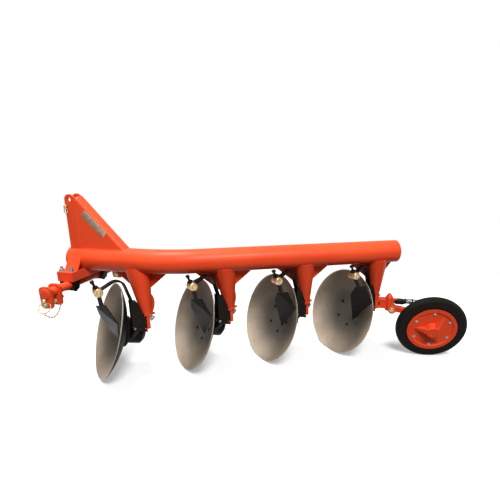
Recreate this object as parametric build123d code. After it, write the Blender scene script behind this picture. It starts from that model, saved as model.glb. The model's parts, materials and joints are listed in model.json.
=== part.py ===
import os
from math import atan2, cos, hypot, radians, sin, sqrt

from build123d import *

# Frame: +X is the direction of travel, +Y the side that the soil is thrown to, +Z up, floor at zero.
# Sizes are in millimetres and degrees. Places are measured from the floor under the first leg,
# and the whole plough is moved to the middle of its box at the end.

# Beam
beam_diameter = 165.0
beam_wall = 14.0
beam_clearance = 89.1        # underside above the tops of the discs
beam_turn = 25.0             # rear stretch against the direction of travel
bend_behind_leg = 205.0      # where the two straight axes meet, behind the first leg
bend_radius = 880.0
beam_front = 524.0           # end of the tube ahead of the first leg
beam_overhang = 148.0        # end of the tube behind the last leg
cap_rise = 22.0
cap_edge = 4.0

# Discs
disc_count = 4
disc_pitch = 570.0           # leg to leg along the rear stretch
disc_diameter = 660.0
disc_thickness = 6.0
dish_radius = 600.0          # of the hollow face
edge_bevel = 8.0
disc_turn = 46.0             # disc axis against the direction of travel
disc_tilt = 17.5             # disc axis above level
hub_lead = 148.96            # middle of the dish ahead of its leg, along the beam
hub_set_over = 133.8         # middle of the dish off the beam, away from the thrown side

# Hubs: axial places are measured from the rim plane, and minus is behind the disc
flange_radius = 108.0
flange_thickness = 20.0
journal_radius = 38.0
journal_length = 84.0
running_gap = 0.05           # radial, of a shaft in its bearing
turning_gap = 6.0            # between what turns and what stands
housing_radius = 80.0
housing_length = 90.0
housing_end_radius = 54.0
housing_dome = 22.0
end_gap = 5.0
web_setback = 5.0            # carrier web behind the front of the housing
web_thickness = 26.0
web_side = 48.0              # corners of the web on the housing
web_rise = 64.0
pad_low = 60.0
pad_top = 185.0
pad_depth = 130.0            # more than reaches the foot, which trims it

# Legs and feet
leg_top_radius = 76.0        # at the underside of the beam
leg_lip_radius = 34.0
first_leg_lead = 50.0        # top of the first leg ahead of its foot's line
lip_rise = 137.0             # above the middle of the dish
lip_trail = 33.0             # lip behind the top of its leg, along the beam
lip_set_over = 67.0          # lip off the beam's axis, away from the thrown side
collar_rim = 6.0
collar_height = 14.0
nose_reach = 54.0            # small pointed nose on the collar, from the lip's middle
nose_half = 14.0
foot_thickness = 22.0
foot_width = 62.0
foot_drop = 96.0             # lower end of the foot below the lip
foot_root = 18.0             # stretch of the foot inside the leg
toe_reach = 16.0
toe_height = 9.0
rib_thickness = 16.0         # rounded rib behind the leg
rib_turn = 250.0             # its direction against the direction of travel
rib_reach = 66.0
rib_low_reach = 38.0
rib_top_reach = 44.0
rib_rise = 140.0

gusset_thickness = 12.0
gusset_set_over = 38.0       # off the beam's axis, away from the thrown side
gusset_reach = 196.0         # each way along the beam, from the top of the leg
gusset_depth = 146.0         # below the beam
gusset_toe = 8.0
gusset_end_gap = 6.0         # from the end of the tube

# Scrapers: places are across, level in the disc plane, then below the top of the rim in that plane,
# then ahead of the rim along the disc's axis
lug_low = 96.0
lug_width = 62.0
lug_across = 139.0
lug_top_drop = 68.0          # below the top of the rim
lug_gap = 37.0               # between the lug and the back of the disc
lug_top_depth = 46.0
arm_width = 38.0
arm_thickness = 12.0
arm_across = 148.0           # of the arm's foot on the lug
arm_setback = 14.0           # of the arm's foot behind the front of the lug
arm_lean = 17.0              # from upright, towards the clamp
arm_over = 36.9              # straight stretch of the arm, more than the beam's clearance
arm_bend_radius = 58.0
arm_bend_turn = 98.0
arm_tail = 84.0
clamp_radius = 28.0
clamp_length = 72.0
clamp_place = (185.0, 19.0, 152.0)
clamp_chamfer = 4.0
stud_radius = 9.0
stud_length = 80.0
stud_lean = 38.0             # from up, towards the open side of the disc
shank_radius = 13.0
shank_seat = 46.0            # from the blade's top corner down the crease
blade_thickness = 8.0
blade_right = (306.0, 172.0, 22.0)
blade_left = (163.0, 158.0, 108.0)
blade_crown = (226.0, 90.0, 150.0)       # upper end of the crease
blade_wing = (288.0, 68.0, 112.0)
blade_tip = (87.0, -41.0, 24.9)          # across, above the disc's axis, ahead of the middle of the dish
blade_overlap = 6.0          # of the two leaves at the crease

# Mast and top link
mast_bar_width = 75.0
mast_bar_thickness = 14.0
mast_bar_back = 437.0
top_link_space = 54.0        # clear between the two bars
top_link_rise = 402.0        # hole above the axis of the beam
top_link_radius = 12.85
top_link_room = 56.0         # round the hole, free of the folded sheet
ear_radius = 36.0
sheet_inset = 2.0            # side of the folded sheet behind the face of its bar
sheet_wall = 6.0
fold_radius = 24.0
slope_turn = 47.2
slope_offset = 53.0          # from the hole's axis square to the slope

# Cross shaft, clamps and clevises
shaft_radius = 27.0
shaft_ahead = 457.0
shaft_drop = 148.0           # below the axis of the beam
bolster_ahead = 465.0
bolster_width = 118.0
bolster_seat = 25.0          # underside of the bolster above the axis of the shaft
bolster_top_drop = 58.0      # top of the bolster below the axis of the beam
bolster_reach = 178.0        # each way from the beam's axis
bolster_wall = 8.0
strap_ahead = 455.0
strap_width = 97.0
strap_thickness = 10.0
strap_top_turn = 35.0        # place round the beam where the strap leaves it
strap_foot = 130.0           # from the beam's axis
cap_block_length = 50.0      # black blocks that clamp the shaft
cap_block_inset = 14.0
cap_block_depth = 64.0
cap_block_toe = 84.0
cap_block_side = 17.0
clevis_mid_left = 225.0
link_spread = 683.0
clevis_plate = 16.0
clevis_space = 55.0          # clear between the two plates
clevis_radius = 44.0
clevis_foot_half = 41.0
clevis_drop = 95.0           # shaft axis to the lower edge
clevis_corner = 12.0
clevis_shoulder = 26.0       # rounding of the upper corners
shaft_stub = 4.0
link_pin_radius = 14.3
link_pin_gap = 0.15
link_pin_drop = 68.0         # shaft axis to pin axis
link_pin_ahead = 4.0
link_pin_stub = 22.0
link_pin_head_radius = 21.0
link_pin_head = 9.0

# Furrow wheel
wheel_radius = 259.0
wheel_behind_leg = 425.0     # wheel centre behind the last leg, along travel
wheel_side = 44.0            # wheel centre beside the last leg, towards the thrown side
wheel_turn = 97.3            # wheel axis against the direction of travel
wheel_lean = 13.7            # wheel axis below level on the thrown side
rim_inner_radius = 182.0
rim_half_width = 36.0
rim_bead = 16.0
rim_bead_half = 32.0
# Tread from its middle to a side, one row each: radius below the crown, place across the rim
tread_rows = [(0.0, 7.0), (5.0, 18.0), (14.0, 28.0), (28.0, 36.0)]
wheel_lip_width = 26.0
wheel_lip_rise = 8.0
wheel_lip_slope = 8.0
wheel_disc_wall = 20.0
wheel_disc_place = 30.0      # outer face ahead of the middle of the rim
rim_seat = 16.0              # inner edge of the disc's seat in the rim, behind the middle
wheel_rib_count = 3
wheel_rib_start = 85.0       # first rib, from up
wheel_rib_root = 40.0
wheel_rib_tip = 10.0
wheel_rib_reach = 124.0
wheel_rib_end = 6.0
wheel_rib_sink = 4.0
wheel_rib_drop = 8.0         # below the end of the boss
barrel_radius = 44.0
barrel_inner = -62.0
barrel_foot = 14.0
boss_place = 78.0
boss_wall = 12.0
axle_radius = 20.0
axle_shoulder_radius = 34.0
axle_shoulder = 34.0

# Wheel bracket: places are measured behind the lip of the last leg and below the spring's axis
spring_drop = 24.0           # axis of the spring below the lip
bracket_length = 96.0
bracket_height = 72.0
bracket_depth = 70.0
bracket_wall = 10.0
bracket_drop = 24.0
slot_behind = 40.0
slot_height = 34.0
slot_width = 16.0
post_behind = 118.0
post_radius = 30.0
post_drop = 80.0             # lower end of the post
post_rise = 26.0             # upper end of the post above the spring's axis
post_cone = 30.0
post_tip_radius = 10.0
pivot_drop = 64.0
pivot_behind = 140.0
pivot_radius = 32.0
pivot_half = 46.0
eye_height = 34.0
eye_width = 22.0
arm_bar_height = 52.0
arm_bar_width = 34.0
arm_bar_corner = 10.0
arm_bar_fall = 8.0           # of the arm where it leaves the pivot
spring_front = 168.0
fork_half = 24.0
spring_tube_radius = 19.0
spring_rod_radius = 11.0
spring_tube_start = 228.0
spring_tube_length = 122.0
spring_back = 396.0
spring_lug = 30.0

# Worked-out places
beam_radius = beam_diameter / 2
disc_radius = disc_diameter / 2
disc_height = disc_radius * cos(radians(disc_tilt))
beam_under = 2 * disc_height + beam_clearance
beam_height = beam_under + beam_radius
rear = Vector(-cos(radians(beam_turn)), -sin(radians(beam_turn)), 0)
away = Vector(sin(radians(beam_turn)), -cos(radians(beam_turn)), 0)
up = Vector(0, 0, 1)
bend_corner = rear * bend_behind_leg
beam_side = bend_corner.Y
dish_centre = sqrt(dish_radius ** 2 - disc_radius ** 2)
dish_depth = dish_radius - dish_centre
back_radius = dish_radius + disc_thickness
disc_heading = Vector(cos(radians(disc_turn)), sin(radians(disc_turn)), 0)
disc_level = Vector(-sin(radians(disc_turn)), cos(radians(disc_turn)), 0)
disc_axis = disc_heading * cos(radians(disc_tilt)) + up * sin(radians(disc_tilt))
lip_height = disc_height - dish_depth * sin(radians(disc_tilt)) + lip_rise
foot_low = lip_height - foot_drop
lug_top = disc_radius - lug_top_drop
arm_rise = beam_clearance + arm_over
flange_back = dish_centre - back_radius - flange_thickness
housing_front = flange_back - turning_gap
journal_end = flange_back - journal_length
web_front = housing_front - web_setback
web_back = web_front - web_thickness
top_link_height = beam_height + top_link_rise
ear_ahead = mast_bar_back + mast_bar_width - ear_radius
bar_middle = (top_link_space + mast_bar_thickness) / 2
sheet_half = top_link_space / 2 + mast_bar_thickness - sheet_inset
shaft_height = beam_height - shaft_drop
bolster_bottom = shaft_height + bolster_seat
bolster_top = beam_height - bolster_top_drop
boss_inner = boss_place - boss_wall
spring_height = lip_height - spring_drop
bracket_mid = spring_height - bracket_drop
post_low = spring_height - post_drop
post_top = spring_height + post_rise
pivot_height = spring_height - pivot_drop
wheel_axis = Vector(
    cos(radians(wheel_turn)) * cos(radians(wheel_lean)),
    sin(radians(wheel_turn)) * cos(radians(wheel_lean)),
    -sin(radians(wheel_lean)),
)


def raised(height):
    return Vector(0, 0, height)


def leg_place(i):
    return rear * (disc_pitch * i)


def leg_top(i):
    # The first leg stands under the front stretch, the others under the rear one.
    if i == 0:
        return Vector(first_leg_lead, beam_side, beam_height)
    return leg_place(i) + raised(beam_height)


def leg_lip(i):
    return leg_place(i) + rear * lip_trail + away * lip_set_over + raised(lip_height)


def disc_centre(i):
    # Middle of the rim, ahead of the middle of the dish by the dish's depth.
    depth = disc_heading * (dish_depth * cos(radians(disc_tilt)))
    return leg_place(i) - rear * hub_lead + away * hub_set_over + depth + raised(disc_height)


def disc_plane(i):
    return Plane(origin=disc_centre(i), x_dir=disc_level, z_dir=disc_axis)


def dish_axial(radius, sphere):
    # Axial place of a dish face at a distance from the disc's axis.
    return dish_centre - sqrt(sphere ** 2 - radius ** 2)


def scraper_point(place):
    # A scraper's place in the disc plane's own axes.
    across, drop, ahead = place
    return Vector(across, disc_radius - drop, ahead)


def lug_front(height):
    # Axial place of the lug's front at a height in the disc plane.
    return dish_axial(hypot(lug_across + lug_width / 2, height), back_radius) - lug_gap


def revolved(points, arcs=()):
    # Turn a profile of (radius, axial) points about Z; arcs maps a start index to the arc's middle point.
    middles = dict(arcs)
    lines = []
    for k, start in enumerate(points):
        end = points[(k + 1) % len(points)]
        first = (start[0], 0, start[1])
        last = (end[0], 0, end[1])
        if k in middles:
            lines.append(ThreePointArc(first, (middles[k][0], 0, middles[k][1]), last))
        else:
            lines.append(Line(first, last))
    return revolve(make_face(lines), Axis.Z)


def plate(points, plane, thickness):
    # Flat plate with a straight-sided outline, centred on its plane.
    outline = make_face(Polyline(*points, close=True))
    return extrude(plane * outline, thickness / 2, both=True)


def side_plane(y):
    # Upright plane along the travel: X ahead, Y up.
    return Plane(origin=(0, y, 0), x_dir=(1, 0, 0), z_dir=(0, -1, 0))


def beam_path():
    front = Vector(beam_front, beam_side, beam_height)
    corner = bend_corner + raised(beam_height)
    last = leg_place(disc_count - 1) + rear * beam_overhang + raised(beam_height)
    return FilletPolyline(front, corner, last, radius=bend_radius)


def beam_sweep(section):
    path = beam_path()
    start = Plane(origin=path @ 0, z_dir=path % 0)
    return sweep(start * section, path=path)


beam_solid = beam_sweep(Circle(beam_radius))


def make_beam():
    return beam_sweep(Circle(beam_radius) - Circle(beam_radius - beam_wall))


def make_beam_caps():
    height = cap_rise - cap_edge
    sphere = (beam_radius ** 2 + height ** 2) / (2 * height)
    half = beam_radius / 2
    middle = cap_rise - sphere + sqrt(sphere ** 2 - half ** 2)
    dome = revolved([(0, 0), (beam_radius, 0), (beam_radius, cap_edge), (0, cap_rise)], {2: (half, middle)})
    path = beam_path()
    front = Plane(origin=path @ 0, z_dir=(path % 0) * -1)
    back = Plane(origin=path @ 1, z_dir=path % 1)
    return [front.location * dome, back.location * dome]


def make_mast_bars():
    front = mast_bar_back + mast_bar_width
    bars = []
    for side in (1, -1):
        outline = make_face(Polyline(
            (mast_bar_back, beam_height), (front, beam_height), (front, top_link_height),
            (ear_ahead - ear_radius, top_link_height), close=True))
        outline += Pos(ear_ahead, top_link_height) * Circle(ear_radius)
        outline -= Pos(ear_ahead, top_link_height) * Circle(top_link_radius)
        bar = extrude(side_plane(beam_side + side * bar_middle) * outline, mast_bar_thickness / 2, both=True)
        bars.append(bar - beam_solid)
    return bars


def make_mast_plate():
    # Folded sheet: two upright sides and a sloping back, open towards the bars and the beam.
    rise = sin(radians(slope_turn))
    run = cos(radians(slope_turn))

    def wedge(inset, half):
        ahead = mast_bar_back + inset
        low = beam_height - inset
        offset = slope_offset - inset
        high = top_link_height + (offset + rise * (ahead - ear_ahead)) / run
        behind = ear_ahead + (run * (low - top_link_height) - offset) / rise
        body = plate([(ahead, low), (ahead, high), (behind, low)], side_plane(beam_side), 2 * half)
        folds = [e for e in body.edges() if min(abs(e.tangent_at(0.5).X), abs(e.tangent_at(0.5).Z)) > run / 2]
        return fillet(folds, fold_radius - inset)

    inner_half = sheet_half - sheet_wall
    ring = Pos(ear_ahead, top_link_height) * Circle(top_link_room)
    room = extrude(side_plane(beam_side) * ring, inner_half, both=True)
    bars = make_mast_bars()
    return wedge(0, sheet_half) - wedge(sheet_wall, inner_half) - room - beam_solid - bars[0] - bars[1]


def shaft_cylinder(first, last, radius):
    plane = Plane(origin=(shaft_ahead, first, shaft_height), x_dir=(1, 0, 0), z_dir=(0, 1, 0))
    return extrude(plane * Circle(radius), last - first)


def clevis_mid(side):
    return clevis_mid_left if side > 0 else clevis_mid_left - link_spread


def shaft_end(side):
    return clevis_mid(side) + side * (clevis_space / 2 + clevis_plate + shaft_stub)


def make_cross_shaft():
    return shaft_cylinder(shaft_end(-1), shaft_end(1), shaft_radius)


def make_bolster():
    height = bolster_top - bolster_bottom
    block = Pos(bolster_ahead, beam_side, bolster_bottom + height / 2) * Box(
        bolster_width, 2 * bolster_reach, height)
    inner_width = bolster_width - 2 * bolster_wall
    inner_reach = bolster_reach - cap_block_inset - cap_block_length
    hollow_height = min(bolster_top, beam_under) - bolster_wall - bolster_bottom
    block -= Pos(bolster_ahead, beam_side, bolster_bottom + hollow_height / 2) * Box(
        inner_width, 2 * inner_reach, hollow_height)
    for cap in make_beam_caps():
        block -= cap
    return block - beam_solid - make_cross_shaft()


def make_straps():
    top_y = beam_radius * cos(radians(strap_top_turn))
    top_z = beam_height + beam_radius * sin(radians(strap_top_turn))
    slope = atan2(top_z - bolster_top, strap_foot - top_y)
    wide = strap_thickness / sin(slope)
    straps = []
    for side in (1, -1):
        points = [
            (beam_side + side * top_y, top_z),
            (beam_side + side * strap_foot, bolster_top),
            (beam_side + side * (strap_foot - wide), bolster_top),
            (beam_side + side * (top_y - wide), top_z),
        ]
        plane = Plane(origin=(strap_ahead, 0, 0), x_dir=(0, 1, 0), z_dir=(1, 0, 0))
        straps.append(plate(points, plane, strap_width) - beam_solid)
    return straps


def make_shaft_clamps():
    half = bolster_width / 2
    low = bolster_bottom - cap_block_depth
    knee = bolster_bottom - cap_block_side
    caps = []
    for side in (1, -1):
        middle = beam_side + side * (bolster_reach - cap_block_inset - cap_block_length / 2)
        points = [
            (bolster_ahead - half, bolster_bottom), (bolster_ahead + half, bolster_bottom),
            (bolster_ahead + half, knee), (bolster_ahead + cap_block_toe / 2, low),
            (bolster_ahead - cap_block_toe / 2, low), (bolster_ahead - half, knee),
        ]
        caps.append(plate(points, side_plane(middle), cap_block_length) - make_cross_shaft())
    return caps


def link_pin_place(side):
    return Vector(shaft_ahead + link_pin_ahead, clevis_mid(side), shaft_height - link_pin_drop)


def make_clevis(side):
    pin = link_pin_place(side)
    low = shaft_height - clevis_drop
    high = shaft_height + clevis_radius
    back = shaft_ahead - clevis_foot_half
    front = shaft_ahead + clevis_foot_half
    plates = []
    for step in (1, -1):
        middle = clevis_mid(side) + step * (clevis_space + clevis_plate) / 2
        outline = make_face(Polyline(
            (shaft_ahead - clevis_radius, high), (shaft_ahead - clevis_radius, shaft_height),
            (back, low + clevis_corner), (back + clevis_corner, low), (front - clevis_corner, low),
            (front, low + clevis_corner), (shaft_ahead + clevis_radius, shaft_height),
            (shaft_ahead + clevis_radius, high), close=True))
        outline = fillet([v for v in outline.vertices() if v.Y > high - clevis_corner], clevis_shoulder)
        outline -= Pos(shaft_ahead, shaft_height) * Circle(shaft_radius)
        outline -= Pos(pin.X, pin.Z) * Circle(link_pin_radius + link_pin_gap)
        plates.append(extrude(side_plane(middle) * outline, clevis_plate / 2, both=True))
    return plates


def make_link_pin(side):
    half = clevis_space / 2 + clevis_plate
    plane = Plane(origin=link_pin_place(side), x_dir=(1, 0, 0), z_dir=(0, side, 0))
    head = link_pin_head_radius
    pin = revolved([
        (0, -half - link_pin_head), (head, -half - link_pin_head), (head, -half), (link_pin_radius, -half),
        (link_pin_radius, half + link_pin_stub), (0, half + link_pin_stub),
    ])
    return plane.location * pin


def foot_plane(i):
    # Upright plane of the foot: X across, Y up, Z towards the disc.
    lip = leg_lip(i)
    return Plane(origin=(lip.X, lip.Y, 0), x_dir=disc_level, z_dir=disc_heading)


def make_leg(i):
    lip = leg_lip(i)
    axis = leg_top(i) - lip
    fall = beam_height - lip_height
    stretch = axis.length * (beam_under - lip_height) / fall
    root = axis.length * (beam_height - beam_radius / 2 - lip_height) / fall
    root_radius = leg_lip_radius + (leg_top_radius - leg_lip_radius) * root / stretch
    stand = Plane(origin=lip, z_dir=axis)
    low = (Align.CENTER, Align.CENTER, Align.MIN)
    cone = stand * Cone(leg_lip_radius, root_radius, root, align=low)
    collar = stand * Cylinder(leg_lip_radius + collar_rim, collar_height, align=low)
    rib_heading = Vector(cos(radians(rib_turn)), sin(radians(rib_turn)), 0)
    rib_plane = Plane(origin=(lip.X, lip.Y, lip.Z), x_dir=rib_heading, z_dir=rib_heading.cross(up))
    rib = make_face([
        Line((0, 0), (rib_low_reach, 0)),
        ThreePointArc((rib_low_reach, 0), (rib_reach, rib_rise / 2), (rib_top_reach, rib_rise)),
        Line((rib_top_reach, rib_rise), (0, rib_rise)),
        Line((0, rib_rise), (0, 0)),
    ])
    nose_plane = Plane(origin=lip, x_dir=rear, z_dir=up)
    nose = extrude(nose_plane * make_face(Polyline(
        (0, -nose_half), (leg_lip_radius, -nose_half), (nose_reach, 0), (leg_lip_radius, nose_half),
        (0, nose_half), close=True)), collar_height)
    foot_top = lip_height + foot_root
    foot = foot_plane(i) * Pos(0, (foot_low + foot_top) / 2) * Box(
        foot_width, foot_top - foot_low, foot_thickness)
    toe = foot_plane(i) * Pos(0, foot_low + toe_height / 2, toe_reach / 2) * Box(
        foot_width, toe_height, foot_thickness + toe_reach)
    leg = cone + collar + extrude(rib_plane * rib, rib_thickness / 2, both=True) + nose + foot + toe
    return leg - beam_solid


def make_gussets(i, leg):
    along = Vector(-1, 0, 0) if i == 0 else rear
    gusset_low = beam_under - gusset_depth
    place = leg_top(i) + up.cross(along) * gusset_set_over
    plane = Plane(origin=(place.X, place.Y, 0), x_dir=along, z_dir=along.cross(up))
    behind = gusset_reach if i < disc_count - 1 else min(gusset_reach, beam_overhang - gusset_end_gap)
    webs = []
    for side, reach in ((1, behind), (-1, gusset_reach)):
        points = [
            (0, beam_height), (side * reach, beam_height), (side * reach, beam_under - gusset_toe),
            (side * leg_lip_radius, gusset_low), (0, gusset_low),
        ]
        web = plate(points, plane, gusset_thickness) - beam_solid - leg
        webs.append(max(web.solids(), key=lambda s: s.volume))
    return webs


def make_disc(i):
    edge = disc_radius - edge_bevel
    points = [
        (0, dish_axial(0, dish_radius)), (disc_radius, 0), (edge, dish_axial(edge, back_radius)),
        (0, dish_axial(0, back_radius)),
    ]
    half = disc_radius / 2
    arcs = {0: (half, dish_axial(half, dish_radius)), 2: (half, dish_axial(half, back_radius))}
    return disc_plane(i).location * revolved(points, arcs)


def make_disc_hub(i):
    seat = (flange_radius, dish_axial(flange_radius, back_radius))
    points = [
        (0, dish_axial(0, back_radius)), seat, (flange_radius, flange_back), (journal_radius, flange_back),
        (journal_radius, journal_end), (0, journal_end),
    ]
    half = flange_radius / 2
    return disc_plane(i).location * revolved(points, {0: (half, dish_axial(half, back_radius))})


def make_carrier(i, leg):
    back = housing_front - housing_length
    bore = journal_radius + running_gap
    housing = revolved([
        (bore, housing_front), (housing_radius, housing_front), (housing_radius, back),
        (housing_end_radius, back - housing_dome), (0, back - housing_dome),
        (0, journal_end - end_gap), (bore, journal_end - end_gap),
    ])
    foot = disc_plane(i).to_local_coords(leg_lip(i))
    left = foot.X - foot_width / 2
    right = foot.X + foot_width / 2
    web_outline = make_face(Polyline(
        (-web_side, web_rise), (web_side, -web_rise), (right, pad_low), (right, pad_top), (left, pad_top),
        close=True))
    web = Pos(0, 0, web_back) * extrude(web_outline - Circle(bore), web_thickness)
    # The lug's side view: up against axial, its front along the back of the disc
    side = Plane(origin=(lug_across, 0, 0), x_dir=(0, 1, 0), z_dir=(1, 0, 0))
    lug = plate([
        (lug_low, web_back), (lug_low, lug_front(lug_low)), (lug_top, lug_front(lug_top)),
        (lug_top, lug_front(lug_top) - lug_top_depth), (pad_top, web_back),
    ], side, lug_width)
    # The pad fills the wedge between the leaning web and the upright foot.
    pad = Pos(foot.X, (pad_low + pad_top) / 2, web_front - pad_depth / 2) * Box(
        foot_width, pad_top - pad_low, pad_depth)
    behind = foot_plane(i) * Pos(0, 0, foot_thickness / 2 - disc_diameter / 2) * Box(
        disc_diameter, 4 * disc_diameter, disc_diameter)
    stand = disc_plane(i).location
    return stand * (housing + web + lug) + (stand * pad - behind) - leg


def arm_frame(i):
    # Upright plane through the arm's foot and the clamp: X level towards the clamp, Y up.
    foot = disc_plane(i).from_local_coords(Vector(arm_across, lug_top, lug_front(lug_top) - arm_setback))
    level = disc_plane(i).from_local_coords(scraper_point(clamp_place)) - foot
    level = Vector(level.X, level.Y, 0)
    return Plane(origin=foot, x_dir=level, z_dir=level.cross(up))


def make_clamp(i):
    drum = Rotation(0, 90, 0) * Cylinder(clamp_radius, clamp_length)
    drum = chamfer(drum.edges().filter_by(GeomType.CIRCLE), clamp_chamfer)
    return disc_plane(i).location * Pos(*scraper_point(clamp_place)) * drum


def make_scraper_arm(i):
    lean = radians(arm_lean)
    heading = Vector(sin(lean), cos(lean))
    rise = Line((0, 0), heading * arm_rise)
    centre = heading * arm_rise + Vector(cos(lean), -sin(lean)) * arm_bend_radius
    arch = CenterArc(centre, arm_bend_radius, 180 - arm_lean, -arm_bend_turn)
    tail = Line(arch @ 1, (arch @ 1) + (arch % 1) * arm_tail)
    path = Wire([rise, arch, tail])
    section = Plane(origin=path @ 0, x_dir=(0, 0, 1), z_dir=path % 0) * Rectangle(arm_width, arm_thickness)
    bar = arm_frame(i).location * sweep(section, path=path)
    top = Pos(0, lug_top - disc_radius / 2, 0) * Box(4 * disc_radius, disc_radius, 4 * disc_radius)
    return bar - disc_plane(i).location * top


def make_stud(i):
    lean = radians(stud_lean)
    plane = Plane(origin=scraper_point(clamp_place), x_dir=(1, 0, 0), z_dir=(0, cos(lean), sin(lean)))
    stud = plane * Pos(0, 0, stud_length / 2) * Cylinder(stud_radius, stud_length)
    return disc_plane(i).location * stud


def blade_leaf(corners):
    # Flat leaf through its first three corners, a fourth laid onto their plane.
    first, second, third = corners[:3]
    plane = Plane(origin=first, x_dir=second - first, z_dir=(second - first).cross(third - first))
    flat = [plane.to_local_coords(c) for c in corners]
    outline = make_face(Polyline(*[(c.X, c.Y) for c in flat], close=True))
    return plane * extrude(outline, blade_thickness)


def make_blade(i):
    # Two leaves that meet in a crease from the crown to the right corner, and the shank that holds them.
    corners = [blade_right, blade_crown, blade_left, blade_wing, clamp_place]
    right, crown, left, wing, clamp = [scraper_point(c) for c in corners]
    tip = Vector(*blade_tip) - Vector(0, 0, dish_depth)
    lower = blade_leaf([tip, right, crown, left])
    inward = (tip - crown).normalized() * blade_overlap
    upper = blade_leaf([right + inward, wing, crown + inward])
    seat = crown + (right - crown).normalized() * shank_seat
    hang = seat - clamp
    shank_plane = Plane(origin=clamp, z_dir=hang)
    shank = shank_plane * Pos(0, 0, hang.length / 2) * Cylinder(shank_radius, hang.length)
    return disc_plane(i).location * (lower + upper + shank)


last_leg = leg_lip(disc_count - 1)
wheel_centre = Vector(
    leg_place(disc_count - 1).X - wheel_behind_leg,
    leg_place(disc_count - 1).Y + wheel_side,
    wheel_radius * cos(radians(wheel_lean)),
)
wheel_plane = Plane(origin=wheel_centre, x_dir=(0, 0, 1), z_dir=wheel_axis)
axle_root = barrel_inner - turning_gap - axle_shoulder
axle_place = wheel_centre + wheel_axis * axle_root


def make_wheel_rim():
    right = [(wheel_radius - drop, place) for drop, place in reversed(tread_rows)]
    left = [(wheel_radius - drop, -place) for drop, place in tread_rows]
    points = [
        (rim_inner_radius, -rim_bead_half), (rim_inner_radius, rim_bead_half),
        (rim_inner_radius + rim_bead, rim_half_width), *right, *left,
        (rim_inner_radius + rim_bead, -rim_half_width),
    ]
    return wheel_plane.location * revolved(points)


def make_wheel_disc():
    face = wheel_disc_place
    inner = face - wheel_disc_wall
    raised_face = face + wheel_lip_rise
    bore = axle_radius + running_gap
    lip = rim_inner_radius - wheel_lip_width
    points = [
        (bore, barrel_inner), (barrel_radius, barrel_inner), (barrel_radius, inner), (lip, inner),
        (rim_inner_radius, -rim_seat), (rim_inner_radius, raised_face), (lip, raised_face),
        (lip - wheel_lip_slope, face), (barrel_radius + barrel_foot, face),
        (barrel_radius, boss_place - wheel_rib_drop), (barrel_radius, boss_place), (0, boss_place),
        (0, boss_inner), (bore, boss_inner),
    ]
    body = revolved(points)
    root = axle_radius + running_gap + wheel_rib_sink
    half_root = wheel_rib_root / 2
    half_tip = wheel_rib_tip / 2
    side = plate([
        (root, face - wheel_rib_sink), (wheel_rib_reach, face - wheel_rib_sink),
        (wheel_rib_reach, face + wheel_rib_end), (barrel_radius, boss_place - wheel_rib_drop),
        (root, boss_place - wheel_rib_drop),
    ], Plane.XZ, wheel_rib_root)
    plan = extrude(make_face(Polyline(
        (root, -half_root), (barrel_radius, -half_root), (wheel_rib_reach, -half_tip),
        (wheel_rib_reach, half_tip), (barrel_radius, half_root), (root, half_root), close=True)), boss_place)
    for k in range(wheel_rib_count):
        body += Rotation(0, 0, wheel_rib_start + 360 / wheel_rib_count * k) * (side & plan)
    return wheel_plane.location * body


def make_wheel_axle():
    end = boss_inner - end_gap
    points = [
        (0, axle_root), (axle_shoulder_radius, axle_root), (axle_shoulder_radius, axle_root + axle_shoulder),
        (axle_radius, axle_root + axle_shoulder), (axle_radius, end), (0, end),
    ]
    return wheel_plane.location * revolved(points)


def behind_lip(distance, height):
    return Vector(last_leg.X - distance, last_leg.Y, height)


def make_wheel_bracket(leg, carrier):
    middle = behind_lip(bracket_length / 2, bracket_mid)
    channel = Pos(*middle) * Box(bracket_length, bracket_depth, bracket_height)
    hollow = Pos(middle.X, middle.Y + bracket_wall, middle.Z) * Box(
        bracket_length - 2 * bracket_wall, bracket_depth, bracket_height - 2 * bracket_wall)
    slot = Pos(*behind_lip(slot_behind, bracket_mid)) * Box(slot_width, 2 * bracket_depth, slot_height)
    return channel - hollow - slot - leg - carrier


def post_cylinder(radius):
    low = behind_lip(post_behind, post_low)
    return Pos(low.X, low.Y, (post_low + post_top) / 2) * Cylinder(radius, post_top - post_low)


def make_wheel_pivot(bracket):
    low = behind_lip(post_behind, post_low)
    cone = Pos(low.X, low.Y, post_top + post_cone / 2) * Cone(post_radius, post_tip_radius, post_cone)
    pin = behind_lip(pivot_behind, pivot_height)
    drum = Pos(*pin) * Rotation(90, 0, 0) * Cylinder(pivot_radius, 2 * pivot_half)
    eye_length = spring_front - post_behind + spring_rod_radius
    eye_middle = behind_lip(post_behind + eye_length / 2, spring_height)
    eye = Pos(*eye_middle) * Box(eye_length, eye_width, eye_height)
    return post_cylinder(post_radius) + cone + drum + eye - bracket


def make_wheel_arm(pivot):
    # A bar that leaves the pivot nearly level and curves down to the axle.
    start = behind_lip(pivot_behind, pivot_height)
    run = axle_place - start
    heading = Vector(run.X, run.Y, -arm_bar_fall)
    path = TangentArc(start, axle_place, tangent=heading)
    level = Vector(run.X, run.Y, 0).cross(up)
    section = RectangleRounded(arm_bar_width, arm_bar_height, arm_bar_corner)
    bar = sweep(Plane(origin=start, x_dir=level, z_dir=heading) * section, path=path)
    lug_x = last_leg.X - spring_back - spring_lug / 2
    lug_foot = axle_place.Z
    lug_high = spring_height + spring_lug / 2
    lug_middle = (lug_x, last_leg.Y, (lug_foot + lug_high) / 2)
    lug = Pos(*lug_middle) * Box(spring_lug, arm_bar_width, lug_high - lug_foot)
    return bar + lug - pivot - make_wheel_axle()


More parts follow.
